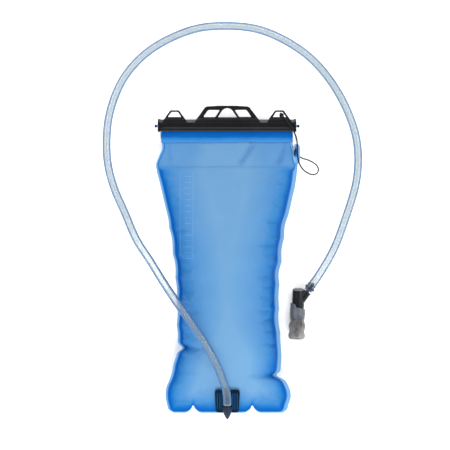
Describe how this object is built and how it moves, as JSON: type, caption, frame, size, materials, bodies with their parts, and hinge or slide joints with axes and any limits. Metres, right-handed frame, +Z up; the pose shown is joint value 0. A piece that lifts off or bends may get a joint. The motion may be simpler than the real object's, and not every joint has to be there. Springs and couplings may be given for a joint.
{
  "type": "hydration bladder",
  "caption": "Soft blue water reservoir with a slide closure, a foot port, a clear drinking hose and an elbow bite valve, laid flat on its back.",
  "frame": {"origin": "on the flat resting face of the back film, on the middle line of the bag", "axes": "+X across the bag, +Y along the bag towards the slider, +Z up, away from the resting face"},
  "size_m": [0.3136, 0.4778, 0.0554],
  "materials": {
    "film": "translucent milky blue welded film, satin gloss, paler in the middle and deeper at the seams",
    "folded_film": "doubled blue film, satin gloss",
    "slider_plastic": "glossy black moulding",
    "cord": "thin black braided cord",
    "port_plastic": "dark navy satin moulding",
    "seal_rubber": "black rubber",
    "clear_hose": "clear hose with a faint blue-grey tint",
    "collar_plastic": "dark blue satin moulding",
    "valve_plastic": "black satin moulding",
    "cap_plastic": "dark grey satin moulding",
    "cuff_rubber": "dark grey silicone sleeve",
    "mouth_silicone": "warm grey translucent silicone"
  },
  "bodies": {
    "reservoir": {"front_film": "film", "back_film": "film", "mouth_fold": "folded_film", "mouth_rod": "folded_film", "rod_cap_left": "slider_plastic", "rod_cap_right": "slider_plastic", "tether_tab": "folded_film", "tether_cord": "cord", "port_flange": "port_plastic", "port_spout": "port_plastic", "port_o_ring": "seal_rubber", "drink_tube": "clear_hose", "hose_collar": "collar_plastic", "valve_stem": "collar_plastic", "stem_o_ring_inner": "seal_rubber", "stem_o_ring_outer": "seal_rubber"},
    "slider": {"slider_rail": "slider_plastic", "tether_knot": "cord"},
    "valve_head": {"elbow_body": "valve_plastic", "elbow_cap": "cap_plastic"},
    "bite_valve": {"shutoff_spool": "valve_plastic", "bite_cuff": "cuff_rubber", "bite_tip": "mouth_silicone"}
  },
  "joints": [
    {"name": "slider_travel", "type": "slide", "parent": "reservoir", "child": "slider", "axis": [1, 0, 0], "range_m": [0, 0.14], "deforming": ["tether_cord"]},
    {"name": "valve_swivel", "type": "hinge", "parent": "reservoir", "child": "valve_head", "pos_m": [0.0856, -0.0415, 0.0104], "axis": [-0.5878, -0.809, 0], "range_deg": [0, 80]},
    {"name": "bite_shutoff_twist", "type": "hinge", "parent": "valve_head", "child": "bite_valve", "pos_m": [0.0863, -0.0228, 0.0104], "axis": [-0.0408, -0.9992, 0], "range_deg": [0, 90]}
  ]
}
